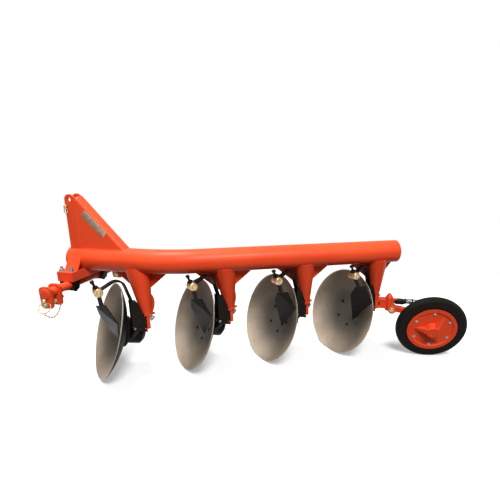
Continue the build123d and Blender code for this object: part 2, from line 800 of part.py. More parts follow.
def make_wheel_spring(pivot):
    eye = behind_lip(spring_front, spring_height)
    tube = behind_lip(spring_tube_start, spring_height)
    fork_length = spring_tube_start - spring_front
    fork = Pos((eye.X + tube.X) / 2, eye.Y, eye.Z) * Box(fork_length, 2 * fork_half, eye_height)
    start = Plane(origin=tube, x_dir=(0, 1, 0), z_dir=(-1, 0, 0))
    rod_length = spring_back - spring_tube_start
    body = start * Pos(0, 0, spring_tube_length / 2) * Cylinder(spring_tube_radius, spring_tube_length)
    rod = start * Pos(0, 0, rod_length / 2) * Cylinder(spring_rod_radius, rod_length)
    return fork + body + rod - pivot


nodes = {}
nodes["main_beam"] = make_beam()
nodes["beam_caps"] = make_beam_caps()
nodes["mast_bars"] = make_mast_bars()
nodes["mast_plate"] = make_mast_plate()
nodes["hitch_bolster"] = make_bolster()
nodes["hitch_straps"] = make_straps()
nodes["shaft_clamps"] = make_shaft_clamps()
nodes["cross_shaft"] = make_cross_shaft()
for side, word in ((1, "left"), (-1, "right")):
    nodes[f"clevis_{word}"] = make_clevis(side)
    nodes[f"hitch_pin_{word}"] = make_link_pin(side)
legs = [make_leg(i) for i in range(disc_count)]
gussets = []
studs = []
for i, leg in enumerate(legs):
    number = i + 1
    clamp = make_clamp(i)
    gussets += make_gussets(i, leg)
    studs.append(make_stud(i) - clamp)
    nodes[f"leg_{number}"] = leg
    nodes[f"hub_carrier_{number}"] = make_carrier(i, leg)
    nodes[f"disc_hub_{number}"] = make_disc_hub(i)
    nodes[f"disc_{number}"] = make_disc(i)
    nodes[f"scraper_arm_{number}"] = make_scraper_arm(i) - clamp
    nodes[f"scraper_clamp_{number}"] = clamp
    nodes[f"scraper_blade_{number}"] = make_blade(i) - clamp
nodes["leg_gussets"] = gussets
nodes["scraper_studs"] = studs
nodes["wheel_rim"] = make_wheel_rim()
nodes["wheel_disc"] = make_wheel_disc()
nodes["wheel_axle"] = make_wheel_axle()
bracket = make_wheel_bracket(legs[-1], nodes[f"hub_carrier_{disc_count}"])
pivot = make_wheel_pivot(bracket)
nodes["wheel_bracket"] = bracket
nodes["wheel_pivot"] = pivot
nodes["wheel_arm"] = make_wheel_arm(pivot)
nodes["wheel_spring"] = make_wheel_spring(pivot)


def solids_of(shape):
    if isinstance(shape, (list, tuple)):
        return [s for item in shape for s in solids_of(item)]
    return list(shape.solids())


box = Compound(children=[s for shape in nodes.values() for s in solids_of(shape)]).bounding_box()
shift = Vector(-(box.min.X + box.max.X) / 2, -(box.min.Y + box.max.Y) / 2, 0)

os.makedirs("parts", exist_ok=True)
for name, shape in nodes.items():
    pieces = [Pos(shift.X, shift.Y, shift.Z) * s for s in solids_of(shape)]
    export_step(pieces[0] if len(pieces) == 1 else Compound(children=pieces), f"parts/{name}.step")
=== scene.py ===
import json

import bmesh
import bpy
import numpy as np
from mathutils import Matrix, Vector

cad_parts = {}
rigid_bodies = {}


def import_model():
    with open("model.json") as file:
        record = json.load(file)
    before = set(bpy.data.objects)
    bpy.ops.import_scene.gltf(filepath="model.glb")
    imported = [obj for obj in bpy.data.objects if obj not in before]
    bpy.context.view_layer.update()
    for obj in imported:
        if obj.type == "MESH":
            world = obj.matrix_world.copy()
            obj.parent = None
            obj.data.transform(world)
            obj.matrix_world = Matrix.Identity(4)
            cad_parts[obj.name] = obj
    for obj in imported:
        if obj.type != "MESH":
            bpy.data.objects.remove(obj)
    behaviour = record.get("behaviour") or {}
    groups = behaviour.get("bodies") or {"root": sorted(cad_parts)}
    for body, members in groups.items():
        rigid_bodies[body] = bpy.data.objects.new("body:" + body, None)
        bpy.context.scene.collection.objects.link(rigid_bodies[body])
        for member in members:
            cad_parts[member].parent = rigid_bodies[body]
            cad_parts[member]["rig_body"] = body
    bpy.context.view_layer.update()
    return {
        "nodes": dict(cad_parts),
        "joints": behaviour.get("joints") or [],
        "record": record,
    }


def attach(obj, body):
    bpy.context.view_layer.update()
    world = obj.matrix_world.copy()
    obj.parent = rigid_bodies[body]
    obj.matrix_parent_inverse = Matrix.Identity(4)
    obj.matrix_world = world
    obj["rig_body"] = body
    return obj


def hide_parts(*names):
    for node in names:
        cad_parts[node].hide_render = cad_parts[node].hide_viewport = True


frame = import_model()
cadNodes = frame["nodes"]
joints = {row["name"]: row for row in frame["joints"]}
slotOf = {row["node"]: row["material_slot"] for row in frame["record"]["subparts"]}
print("frame loaded:", len(cadNodes), "nodes")

# places are in metres from the floor under the first leg, as the solids' own drawing has them
discOffset = (0.25706, 0.00953, 0.31472)    # first disc's middle from there
legFloor = np.array(joints["disc_1_spin"]["pos_m"]) - discOffset
beamSide = -0.08664                         # axis of the front stretch of the beam
discCount = 4
upward = np.array((0.0, 0.0, 1.0))
nearward = np.array((0.0, 1.0, 0.0))        # to the left, the side that the picture shows
backward = np.array((-1.0, 0.0, 0.0))


def spot(x, y, z):
    return legFloor + np.array((x, y, z))


def unit(vector):
    vector = np.asarray(vector, float)
    return vector / np.linalg.norm(vector)


def axesOf(jointName):
    # middle and three axes of a turning body: level or up, the other one, and its axle
    row = joints[jointName]
    axle = unit(row["axis"])
    first = unit((-axle[1], axle[0], 0)) if jointName.startswith("disc") else unit(upward - axle * axle[2])
    return np.array(row["pos_m"]), first, np.cross(axle, first), axle


# shader wiring
class Wire:
    # one output of a shader tree: arithmetic on it adds Math nodes, add() makes any other node
    def __init__(self, tree, socket=None):
        self.tree = tree
        self.socket = socket

    def add(self, kind, settings=(), inputs=(), output=0):
        node = self.tree.nodes.new("ShaderNode" + kind)
        for key, value in dict(settings).items():
            setattr(node, key, value)
        for key, value in dict(inputs).items():
            if isinstance(value, Wire):
                self.tree.links.new(value.socket, node.inputs[key])
            else:
                node.inputs[key].default_value = value
        return Wire(self.tree, node.outputs[output])

    def math(self, operation, first, second):
        return self.add("Math", {"operation": operation}, {0: first, 1: second})

    def __add__(self, other):
        return self.math("ADD", self, other)

    __radd__ = __add__

    def __sub__(self, other):
        return self.math("SUBTRACT", self, other)

    def __rsub__(self, other):
        return self.math("SUBTRACT", other, self)

    def __mul__(self, other):
        return self.math("MULTIPLY", self, other)

    __rmul__ = __mul__

    def most(self, other):
        return self.math("MAXIMUM", self, other)

    def between(self, low, high):
        # 0 at low, 1 at high, smooth in between
        return self.add("MapRange", {"interpolation_type": "SMOOTHSTEP"}, {0: self, 1: low, 2: high})

    def tint(self, first, second):
        # colour from first to second by this value
        colours = {6: first, 7: second}
        for key, value in colours.items():
            if not isinstance(value, Wire):
                colours[key] = (*value, 1)
        return self.add("Mix", {"data_type": "RGBA"}, {0: self, **colours}, output=2)

    def noise(self, place, scale, detail):
        return self.add("TexNoise", inputs={"Vector": place, "Scale": scale, "Detail": detail})


def newMaterial(name, **sockets):
    # a material with even values set on its shader, and the place on the piece that patterns read
    material = bpy.data.materials.new(name)
    material.use_nodes = True
    tree = material.node_tree
    shader = tree.nodes["Principled BSDF"]
    names = {"specular": "Specular IOR Level", "coat": "Coat Weight", "coatRoughness": "Coat Roughness"}
    for key, value in sockets.items():
        shader.inputs[names.get(key, key.capitalize())].default_value = value
    wire = Wire(tree)
    return material, wire, wire.add("TexCoord", output="Object"), shader


def feed(wire, shader, socket):
    wire.tree.links.new(wire.socket, shader.inputs[socket])


def feedBump(wire, height, distance, strength, shader):
    bump = wire.add("Bump", inputs={"Height": height, "Distance": distance, "Strength": strength})
    feed(bump, shader, "Normal")


# finishes: cloud, speck, grain and the like are the scale and the detail of a noise
redLook = {
    "body": (0.80, 0.064, 0.016),       # orange-red enamel
    "warm": (0.85, 0.078, 0.020),
    "deep": (0.46, 0.022, 0.009),       # painted shade in corners and creases, from ambient occlusion
    "dust": (0.80, 0.15, 0.09),
    "film": 0.16,                       # of dust on top faces
    "roughness": 0.46,
    "peel": 0.00012,                    # height of the orange peel, m
    "cornerReach": 0.05,
    "cloud": (3.0, 4.0), "speck": (90.0, 3.0), "grain": (260.0, 1.0),
}


def makeRedPaint():
    material, wire, place, shader = newMaterial("redEnamel", specular=0.16, coat=0.05, coatRoughness=0.22)
    cloud = wire.noise(place, *redLook["cloud"])
    speck = wire.noise(place, *redLook["speck"])
    facing = wire.add("SeparateXYZ", inputs={0: wire.add("TexCoord", output="Normal")}, output="Z")
    # ambient occlusion darkens the enamel in corners and creases: painted shade
    reach = {"Distance": redLook["cornerReach"]}
    corner = 1 - wire.add("AmbientOcclusion", {"samples": 8}, reach, output="AO")
    paint = cloud.between(0.35, 0.7).tint(redLook["body"], redLook["warm"])
    paint = (corner.between(0.35, 0.95) * 0.6).tint(paint, redLook["deep"])
    film = facing.between(0.4, 1.0) * speck.between(0.45, 0.78) * redLook["film"]
    feed(film.tint(paint, redLook["dust"]), shader, "Base Color")
    feed(redLook["roughness"] + film * 0.5 + (cloud - 0.5) * 0.1, shader, "Roughness")
    feedBump(wire, wire.noise(place, *redLook["grain"]), redLook["peel"], 0.3, shader)
    return material


blackLook = {
    "body": (0.0060, 0.0048, 0.0034),
    "warm": (0.0125, 0.0096, 0.0066),
    "rub": (0.034, 0.027, 0.020),       # paint rubbed thin
    "roughness": 0.44,
    "cloud": (7.0, 5.0), "rubbed": (34.0, 6.0), "grain": (320.0, 2.0),
}


def makeBlackPaint():
    material, wire, place, shader = newMaterial("blackPaint", specular=0.07)
    cloud = wire.noise(place, *blackLook["cloud"])
    rubbed = wire.noise(place, *blackLook["rubbed"])
    paint = cloud.between(0.42, 0.75).tint(blackLook["body"], blackLook["warm"])
    feed((rubbed.between(0.60, 0.72) * 0.5).tint(paint, blackLook["rub"]), shader, "Base Color")
    feed(blackLook["roughness"] + (cloud - 0.5) * 0.3, shader, "Roughness")
    feedBump(wire, wire.noise(place, *blackLook["grain"]), 0.0003, 0.3, shader)
    return material


steelLook = {
    "dark": (0.056, 0.049, 0.042),      # towards the middle: painted shade
    "pale": (0.470, 0.376, 0.286),      # bare steel, towards the rim
    "edge": (0.680, 0.600, 0.500),      # ground edge
    "spread": (0.34, 1.15),             # shares of the radius between which it brightens
    "roughness": 0.60,
    "metallic": 0.04,
    "cloud": (4.5, 5.0), "scuff": (60.0, 4.0), "fleck": (24.0, 6.0),
}


def makeDiscSteel():
    # bare steel in the hollow, black paint on the back: the piece's own attributes say where
    material, wire, place, shader = newMaterial("discSteel", specular=0.07)
    back, edge, radial = [
        wire.add("Attribute", {"attribute_name": name}, output="Fac") for name in ("back", "edge", "radial")
    ]
    cloud = wire.noise(place, *steelLook["cloud"])
    scuff = wire.noise(place, *steelLook["scuff"])
    fleck = wire.noise(place, *steelLook["fleck"])
    patches = 0.58 + cloud.between(0.28, 0.74) * 0.36 + scuff * 0.12
    # the tone darkens towards the middle of the dish by its radius: painted shade
    tone = radial.between(*steelLook["spread"]) * patches + cloud * 0.06
    steel = tone.tint(steelLook["dark"], steelLook["pale"])
    steel = (fleck.between(0.60, 0.74) * 0.14).tint(steel, steelLook["dark"])
    steel = edge.tint(steel, steelLook["edge"])
    feed(back.tint(steel, blackLook["body"]), shader, "Base Color")
    feed(steelLook["roughness"] + (scuff - 0.5) * 0.22, shader, "Roughness")
    feed(steelLook["metallic"] - back * steelLook["metallic"], shader, "Metallic")
    feedBump(wire, scuff, 0.0003, 0.2, shader)
    return material


platedLook = {"metallic": 0.85, "cloud": (38.0, 3.0), "grain": (500.0, 1.0)}


def makePlated(name, dark, pale, roughness):
    # zinc plating: two tones in soft patches, fine grain
    material, wire, place, shader = newMaterial(name, metallic=platedLook["metallic"])
    cloud = wire.noise(place, *platedLook["cloud"])
    grain = wire.noise(place, *platedLook["grain"])
    feed(cloud.between(0.3, 0.7).tint(dark, pale), shader, "Base Color")
    feed(roughness + (grain - 0.5) * 0.2, shader, "Roughness")
    feedBump(wire, grain, 0.0001, 0.25, shader)
    return material


wheelLook = {
    "body": (0.0050, 0.0041, 0.0027),
    "warm": (0.0082, 0.0067, 0.0046),
    "roughness": 0.62,
    "cloud": (9.0, 4.0), "grain": (420.0, 2.0),
}


def makeWheelBlack():
    material, wire, place, shader = newMaterial("wheelBlack", specular=0.07)
    cloud = wire.noise(place, *wheelLook["cloud"])
    feed(cloud.between(0.35, 0.75).tint(wheelLook["body"], wheelLook["warm"]), shader, "Base Color")
    feed(wheelLook["roughness"] + (cloud - 0.5) * 0.25, shader, "Roughness")
    feedBump(wire, wire.noise(place, *wheelLook["grain"]), 0.0004, 0.3, shader)
    return material


finishes = {
    "red_paint": makeRedPaint(),
    "black_paint": makeBlackPaint(),
    "disc_steel": makeDiscSteel(),
    "yellow_zinc": makePlated("yellowZinc", (0.37, 0.25, 0.115), (0.60, 0.45, 0.255), 0.38),
    "bright_zinc": makePlated("brightZinc", (0.15, 0.15, 0.145), (0.36, 0.355, 0.34), 0.36),
    "black_iron": makeWheelBlack(),
}
plateFinish = makePlated("plateBronze", (0.26, 0.195, 0.135), (0.38, 0.30, 0.22), 0.44)
pinFinish = makePlated("pinZinc", (0.17, 0.125, 0.06), (0.36, 0.28, 0.155), 0.36)
for nodeName, piece in cadNodes.items():
    piece.data.materials.clear()
    piece.data.materials.append(finishes[slotOf[nodeName]])
print("finishes set on the solids")


# making meshes from arrays
def turns(count):
    return np.arange(count) * 2 * np.pi / count


def quads(rows, columns):
    # faces between the rows of a grid, each row one closed ring
    r, c = np.meshgrid(np.arange(rows - 1), np.arange(columns), indexing="ij")
    n = (c + 1) % columns
    low, high = r * columns, (r + 1) * columns
    return np.stack((low + c, low + n, high + n, high + c), -1).reshape(-1, 4)


def capped(rows, columns):
    # the same with a face over the first and the last ring
    faces = quads(rows, columns).tolist()
    faces.append(list(range(columns))[::-1])
    faces.append([k + (rows - 1) * columns for k in range(columns)])
    return faces


def addPiece(name, points, faces, slot, body="frame", replaced=(), smooth=True, finish=None):
    mesh = bpy.data.meshes.new(name)
    mesh.from_pydata(np.asarray(points).tolist(), [], [list(f) for f in faces])
    mesh.polygons.foreach_set("use_smooth", np.full(len(mesh.polygons), smooth))
    mesh.materials.append(finish or finishes[slot])
    mesh.validate()
    piece = bpy.data.objects.new(name, mesh)
    bpy.context.scene.collection.objects.link(piece)
    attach(piece, body)
    if replaced:
        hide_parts(*replaced)
    return piece


def lathe(profile, segments):
    # rings of the profile's (radius, height) rows about the local z axis, a row of no radius is one pole
    profile = np.asarray(profile, float)
    poles = profile[:, 0] < 1e-7
    rings = profile[~poles]
    angle = turns(segments)
    circle = np.stack((np.cos(angle), np.sin(angle)), -1)
    heights = np.repeat(rings[:, 1:], segments, axis=1)[..., None]
    points = np.concatenate((rings[:, None, :1] * circle, heights), -1).reshape(-1, 3)
    faces = quads(len(rings), segments).tolist()
    k = np.arange(segments)
    for row, start, order in ((0, 0, -1), (-1, (len(rings) - 1) * segments, 1)):
        if poles[row]:
            tip = len(points)
            points = np.vstack((points, (0, 0, profile[row, 1])))
            ends = np.stack((k + start, (k + 1) % segments + start, np.full(segments, tip)), -1)
            faces += ends[:, ::order].tolist()
    return points, faces


def laid(shape, place, x, y, z):
    # the same shape with its own axes turned to x, y, z at a place
    points, faces = shape
    return points @ np.array((x, y, z)) + place, faces


def along(axis):
    # two axes square to a direction, and the direction
    z = unit(axis)
    x = unit(np.cross(upward if abs(z[2]) < 0.9 else (1.0, 0.0, 0.0), z))
    return x, np.cross(z, x), z


def joined(shapes):
    # several shapes in one pair of arrays
    points = []
    faces = []
    count = 0
    for shape in shapes:
        faces += [[index + count for index in face] for face in shape[1]]
        points.append(shape[0])
        count += len(shape[0])
    return np.vstack(points), faces


def oval(middle, first, second, count):
    # points of an ellipse about a middle, its half axes given as two vectors
    turn = turns(count)[:, None]
    return middle + np.cos(turn) * first + np.sin(turn) * second


def tube(path, radius, segments, closed=False, reference=upward):
    # a circle carried along the path, square to it; a radius may be given for every point
    path = np.asarray(path, float)
    heading = np.roll(path, -1, 0) - np.roll(path, 1, 0) if closed else np.gradient(path, axis=0)
    heading /= np.linalg.norm(heading, axis=1)[:, None]
    side = np.cross(np.asarray(reference, float), heading)
    side /= np.linalg.norm(side, axis=1)[:, None]
    other = np.cross(heading, side)
    angle = turns(segments)[:, None]
    radius = np.broadcast_to(radius, len(path))[:, None, None]
    rings = path[:, None] + radius * (side[:, None] * np.cos(angle) + other[:, None] * np.sin(angle))
    points = rings.reshape(-1, 3)
    if not closed:
        return points, capped(len(path), segments)
    faces = quads(len(path) + 1, segments) % len(points)      # the last ring is the first one again
    return points, faces.tolist()


def slab(outline, thickness, edge):
    # a flat outline (counter-clockwise) with a chamfered edge, from z = 0 up
    outline = np.asarray(outline, float)
    middle = outline.mean(0)
    reach = np.abs(outline - middle).max()
    inner = middle + (outline - middle) * (1 - edge / reach)
    rows = [(inner, 0.0), (outline, edge), (outline, thickness - edge), (inner, thickness)]
    points = np.vstack([np.column_stack((flat, np.full(len(flat), height))) for flat, height in rows])
    return points, capped(len(rows), len(outline))


# bolts: sizes are shares of the radius to a corner, a thread's pitch and depth are in metres
boltLook = {
    "seat": 0.16, "side": 0.62, "crown": (0.86, 0.74), "top": 0.78,
    "washer": 1.32, "washerTop": 1.24, "washerEdge": 0.8,
    "sunk": 0.001,                          # m, of the washer into what it lies on
}


def bolt(place, axis, size, washer=True):
    # a six-sided head with a chamfered crown, on a flat washer
    seat = boltLook["seat"] if washer else 0.0
    crownWide, crownHigh = boltLook["crown"]
    head = [
        (0, seat), (1, seat), (1, seat + boltLook["side"]), (crownWide, seat + crownHigh),
        (0, seat + boltLook["top"]),
    ]
    shapes = [lathe(np.array(head) * size, 6)]
    if washer:
        wide, wideTop = boltLook["washer"] * size, boltLook["washerTop"] * size
        rise, sunk = seat * size, boltLook["sunk"]
        edge = boltLook["washerEdge"] * rise
        shapes.append(lathe([(0, -sunk), (wide, -sunk), (wide, edge), (wideTop, rise), (0, rise)], 20))
    axes = along(axis)
    return joined([laid(shape, place, *axes) for shape in shapes])


def threadRows(radius, start, end, pitch, depth):
    # every second row of a thread's profile lies deeper
    heights = np.arange(start, end, pitch)
    return np.column_stack((radius - depth * (np.arange(len(heights)) % 2), heights))


studLook = {
    "rod": 0.56, "start": 0.5, "thread": 0.9, "bare": 0.3, "tip": 0.85,
    "pitch": 0.0018, "depth": 0.0007,
}


def stud(place, axis, size, length):
    # a nut on a washer with a rounded thread end standing out of it
    r, start = studLook["rod"] * size, studLook["start"] * size
    first, last = studLook["thread"] * size, length - studLook["bare"] * size
    thread = threadRows(r, first, last, studLook["pitch"], studLook["depth"])
    rod = lathe(np.vstack(((0, start), (r, start), thread, (studLook["tip"] * r, length), (0, length))), 18)
    return joined([bolt(place, axis, size), laid(rod, place, *along(axis))])


def addBolts(name, rows, slot, body="frame"):
    shape = joined([bolt(*row) for row in rows])
    return addPiece(name, *shape, slot, body, smooth=False)


# castings and plates with holes: the solid's own faces with broken edges
edgeLook = {"sharp": 32.0, "flat": 0.8, "segments": 2, "merge": 0.0003}
edgeWidths = {
    "mast_bars": 0.0025, "mast_plate": 0.0015, "hitch_bolster": 0.003, "hitch_straps": 0.002,
    "shaft_clamps": 0.003, "clevis_left": 0.0025, "clevis_right": 0.0025, "leg_gussets": 0.002,
    "wheel_disc": 0.003, "wheel_pivot": 0.003, "wheel_arm": 0.002,
    "leg": 0.003, "hub_carrier": 0.004, "scraper_arm": 0.002, "scraper_clamp": 0.002, "scraper_blade": 0.0,
}


def dress(nodeName, width):
    # a merged copy of the solid's mesh, flat triangles dissolved, sharp edges bevelled where a width is given
    mesh = cadNodes[nodeName].data.copy()
    form = bmesh.new()
    form.from_mesh(mesh)
    bmesh.ops.remove_doubles(form, verts=form.verts, dist=edgeLook["merge"])
    flat = np.radians(edgeLook["flat"])
    bmesh.ops.dissolve_limit(form, angle_limit=flat, verts=form.verts, edges=form.edges)
    bmesh.ops.dissolve_degenerate(form, dist=edgeLook["merge"], edges=form.edges)
    for edge in form.edges:
        edge.smooth = edge.calc_face_angle(3.0) < np.radians(edgeLook["sharp"])
    for face in form.faces:
        face.smooth = True
    form.to_mesh(mesh)
    form.free()
    piece = bpy.data.objects.new(nodeName + "_skin", mesh)
    bpy.context.scene.collection.objects.link(piece)
    if width > 0:
        bevel = piece.modifiers.new("brokenEdge", "BEVEL")
        bevel.limit_method = "ANGLE"
        bevel.angle_limit = np.radians(edgeLook["sharp"])
        bevel.width = width
        bevel.segments = edgeLook["segments"]
        bevel.use_clamp_overlap = True
        bevel.harden_normals = True
    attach(piece, cadNodes[nodeName]["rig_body"])
    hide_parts(nodeName)
    return piece


for nodeName in cadNodes:
    kind = nodeName[:-2] if nodeName[-1].isdigit() else nodeName
    if kind in edgeWidths:
        dress(nodeName, edgeWidths[kind])
print("castings and plates dressed")

# beam: a round section carried along a straight, an arc and a straight, closed by shallow domes
beamLook = {
    "radius": 0.0825, "front": 0.524, "height": 0.801, "turn": 25.0, "bendBehind": 0.205, "bendRadius": 0.880,
    "spacing": 0.570, "tail": 0.148, "dome": 0.022, "segments": 72,
    "closing": 0.999,                       # of a dome, the rest is a small flat end
}


def makeBeam():
    # the section's radius falls along a quarter ellipse over each dome
    turn = np.radians(beamLook["turn"])
    bend, segments = beamLook["bendRadius"], beamLook["segments"]
    heading = np.array((-np.cos(turn), -np.sin(turn), 0))
    corner = heading * beamLook["bendBehind"]
    start = np.array((beamLook["front"], corner[1], 0))
    bendStart = corner + (bend * np.tan(turn / 2), 0, 0)
    sweep = np.linspace(0, turn, 33)[:, None]
    arc = bendStart + bend * np.hstack((-np.sin(sweep), np.cos(sweep) - 1, 0 * sweep))
    end = heading * ((discCount - 1) * beamLook["spacing"] + beamLook["tail"])
    front = start + (bendStart - start) * np.linspace(0, 1, 12)[:, None]
    back = arc[-1] + (end - arc[-1]) * np.linspace(0, 1, 30)[:, None]
    line = np.vstack((front, arc[1:-1], back))
    sink = np.linspace(0, 1, 10)[:-1]
    rise = beamLook["dome"] * (1 - sink)
    shrink = np.sqrt(1 - (1 - sink) ** 2.0 * beamLook["closing"])
    path = np.vstack((start - rise[:, None] * backward, line, end + rise[::-1, None] * heading))
    path = path + spot(0, 0, beamLook["height"])
    radii = beamLook["radius"] * np.concatenate((shrink, np.ones(len(line)), shrink[::-1]))
    ends = [np.tile(way, (len(rise), 1)) for way in (backward, heading)]
    headings = np.vstack((ends[0], np.gradient(line, axis=0), ends[1]))
    headings /= np.linalg.norm(headings, axis=1)[:, None]
    side = np.cross(upward, headings)
    angle = turns(segments)[:, None]
    ring = side[:, None] * np.cos(angle) + upward * np.sin(angle)
    points = (path[:, None] + radii[:, None, None] * ring).reshape(-1, 3)
    faces = capped(len(path), segments)
    return addPiece("beamTube", points, faces, "red_paint", replaced=("main_beam", "beam_caps"))


makeBeam()
print("beam made")

# discs: two spheres' caps that share a ground edge
discLook = {
    "radius": 0.330, "hollow": 0.600, "back": 0.606, "bevel": 0.008, "segments": 120, "rows": 40,
    "edgeRows": ((-0.0006, -0.0004), (0.0, -0.0014), (-0.0008, -0.0026)),      # from the rim
    "edgeBand": 0.0035, "edgeFade": 0.003, "slack": 0.001,
}


def dishMiddle():
    # place of both spheres' middle along the axle, ahead of the rim
    return np.sqrt(discLook["hollow"] ** 2 - discLook["radius"] ** 2)


def dishHeight(radius, sphere):
    # place of a dish face along the axle, ahead of the rim
    return dishMiddle() - np.sqrt(sphere ** 2 - np.square(radius))


def dishRows(reach, count, sphere):
    radius = reach * np.linspace(0, 1, count)
    return np.column_stack((radius, dishHeight(radius, sphere)))


def makeDish(number):
    rim = discLook["radius"]
    inner = rim - discLook["bevel"]
    hollow = dishRows(rim, discLook["rows"], discLook["hollow"])
    back = dishRows(inner, discLook["rows"], discLook["back"])
    edge = np.array(discLook["edgeRows"]) + (rim, 0)
    shape = lathe(np.vstack((back, edge[::-1], hollow[-2::-1])), discLook["segments"])
    place, *axes = axesOf(f"disc_{number}_spin")
    body = f"disc_body_{number}"
    disc = addPiece(f"dish_{number}", *laid(shape, place, *axes), "disc_steel", body, (f"disc_{number}",))
    radius = np.hypot(shape[0][:, 0], shape[0][:, 1])
    reach = np.hypot(radius, dishMiddle() - shape[0][:, 2])
    isBack = (reach > (discLook["hollow"] + discLook["back"]) / 2) & (radius < inner + discLook["slack"])
    isEdge = np.clip((radius - rim + discLook["edgeBand"]) / discLook["edgeFade"], 0, 1) * ~isBack
    for name, values in (("back", isBack), ("edge", isEdge), ("radial", radius / rim)):
        layer = disc.data.attributes.new(name, "FLOAT", "POINT")
        layer.data.foreach_set("value", np.asarray(values, np.float32))
    return disc


discBolts = {"circle": 0.104, "count": 5, "start": 142.0, "corner": 0.0100}


def makeDishBolts(number):
    # heads square to the hollow face
    place, level, rise, axle = axesOf(f"disc_{number}_spin")
    circle = discBolts["circle"]
    floor = dishHeight(circle, discLook["hollow"])
    heads = []
    for angle in np.radians(discBolts["start"]) + turns(discBolts["count"]):
        across = level * np.cos(angle) + rise * np.sin(angle)
        lean = unit(axle - across * circle / discLook["hollow"])
        heads.append((place + across * circle + axle * floor, lean, discBolts["corner"], False))
    return addBolts(f"dishBolts_{number}", heads, "black_paint", f"disc_body_{number}")


hubLook = {
    "flange": 0.108, "thickness": 0.020, "journal": 0.038, "length": 0.084, "seat": 0.0002, "rows": 14,
    "lip": 0.002, "chamfer": 0.003, "fillet": 0.004,
}


def makeHub(number):
    # a flange that fits the back of the dish, and its journal
    flange, journal = hubLook["flange"], hubLook["journal"]
    lip, chamfer, fillet = hubLook["lip"], hubLook["chamfer"], hubLook["fillet"]
    rows = dishRows(flange - lip, hubLook["rows"], discLook["back"]) - (0, hubLook["seat"])
    top = dishHeight(flange, discLook["back"])
    low = dishHeight(0, discLook["back"]) - hubLook["thickness"]
    end = low - hubLook["length"]
    tail = [
        (flange, top - lip), (flange, low + chamfer), (flange - chamfer, low), (journal + fillet, low),
        (journal, low - fillet), (journal, end + lip), (journal - lip, end), (0, end),
    ]
    place, *axes = axesOf(f"disc_{number}_spin")
    shape = laid(lathe(np.vstack((rows, tail))[::-1], 64), place, *axes)
    body = f"disc_body_{number}"
    return addPiece(f"hubFlange_{number}", *shape, "black_paint", body, (f"disc_hub_{number}",))


for number in range(1, discCount + 1):
    makeDish(number)
    makeDishBolts(number)
    makeHub(number)
print("discs and hubs made")

# furrow wheel: a crowned rim, its bolts and cap screws
rimLook = {
    "radius": 0.259, "shoulder": 0.231, "half": 0.036, "power": 2.3,
    "inner": 0.182, "bead": 0.198, "beadHalf": 0.032,
    "corner": 0.004, "groove": (0.012, 0.014, 0.018, 0.020), "grooveDepth": 0.0025, "segments": 128,
}


def makeRim():
    # the crown is a part of a superellipse between two flat walls, each wall with a shallow groove
    power, half, bead = rimLook["power"], rimLook["half"], rimLook["bead"]
    across = np.linspace(-1, 1, 41)
    rise = (rimLook["radius"] - rimLook["shoulder"]) * (1 - np.abs(across) ** power) ** (1 / power)
    crown = np.column_stack((rimLook["shoulder"] + rise, half * across))
    corner, depth = rimLook["corner"], rimLook["grooveDepth"]
    low = [(rimLook["inner"], -rimLook["beadHalf"]), (bead - corner, -half + corner), (bead, -half)]
    for step, sunk in zip(rimLook["groove"], (0, depth, depth, 0)):
        low.append((bead + step, -half + sunk))
    high = [(r, -z) for r, z in reversed(low)]
    shape = lathe(np.vstack((low, crown, high, low[:1])), rimLook["segments"])
    place, *axes = axesOf("wheel_spin")
    return addPiece("furrowRim", *laid(shape, place, *axes), "black_iron", "wheel_body", ("wheel_rim",))


wheelBolts = {"circle": 0.1385, "count": 6, "start": 0.0, "corner": 0.0080, "face": 0.030}
capScrews = {"circle": 0.029, "count": 3, "start": 25.0, "corner": 0.0055, "face": 0.078}


def ringOfBolts(name, look, slot, washer):
    place, first, second, axle = axesOf("wheel_spin")
    rows = []
    for angle in np.radians(look["start"]) + turns(look["count"]):
        radial = first * np.cos(angle) + second * np.sin(angle)
        rows.append((place + radial * look["circle"] + axle * look["face"], axle, look["corner"], washer))
    return addBolts(name, rows, slot, "wheel_body")


makeRim()
ringOfBolts("wheelBolts", wheelBolts, "bright_zinc", True)
ringOfBolts("capScrews", capScrews, "red_paint", False)
print("furrow wheel made")

# hitch: shaft, pins, rings and chain, bolts on the bolster
shaftLook = {
    "ahead": 0.457, "height": 0.653, "radius": 0.027, "chamfer": 0.004,
    "ends": {1: 0.2725, -1: -0.5055},       # near, far
}


def makeShaft():
    # a round bar across the plough, chamfered at both ends
    r, c = shaftLook["radius"], shaftLook["chamfer"]
    first = shaftLook["ends"][-1]
    length = shaftLook["ends"][1] - first
    profile = [(0, 0), (r - c, 0), (r, c), (r, length - c), (r - c, length), (0, length)]
    place = spot(shaftLook["ahead"], first, shaftLook["height"])
    shape = laid(lathe(profile, 48), place, *along(nearward))
    return addPiece("crossShaft", *shape, "red_paint", replaced=("cross_shaft",))


pinLook = {
    "ahead": 0.461, "height": 0.585, "middle": {1: 0.225, -1: -0.458}, "radius": 0.0143, "half": 0.0435,
    "head": 0.021, "headThick": 0.009, "chamfer": 0.002, "tip": 0.022, "taper": (0.005, 0.004),
}


def makePin(word, side):
    # a headed pin with a chamfered nose
    r, half, c = pinLook["radius"], pinLook["half"], pinLook["chamfer"]
    head, back = pinLook["head"], -half - pinLook["headThick"]
    tip = half + pinLook["tip"]
    inset, taper = pinLook["taper"]
    profile = [
        (0, back), (head - c, back), (head, back + c), (head, -half), (r, -half),
        (r, tip - taper), (r - inset, tip), (0, tip),
    ]
    place = spot(pinLook["ahead"], pinLook["middle"][side], pinLook["height"])
    shape = laid(lathe(profile, 36), place, *along(side * nearward))
    addPiece(f"linkPin_{word}", *shape, "bright_zinc", replaced=(f"hitch_pin_{word}",), finish=pinFinish)
    return place + side * nearward * (half + ringLook["nose"])


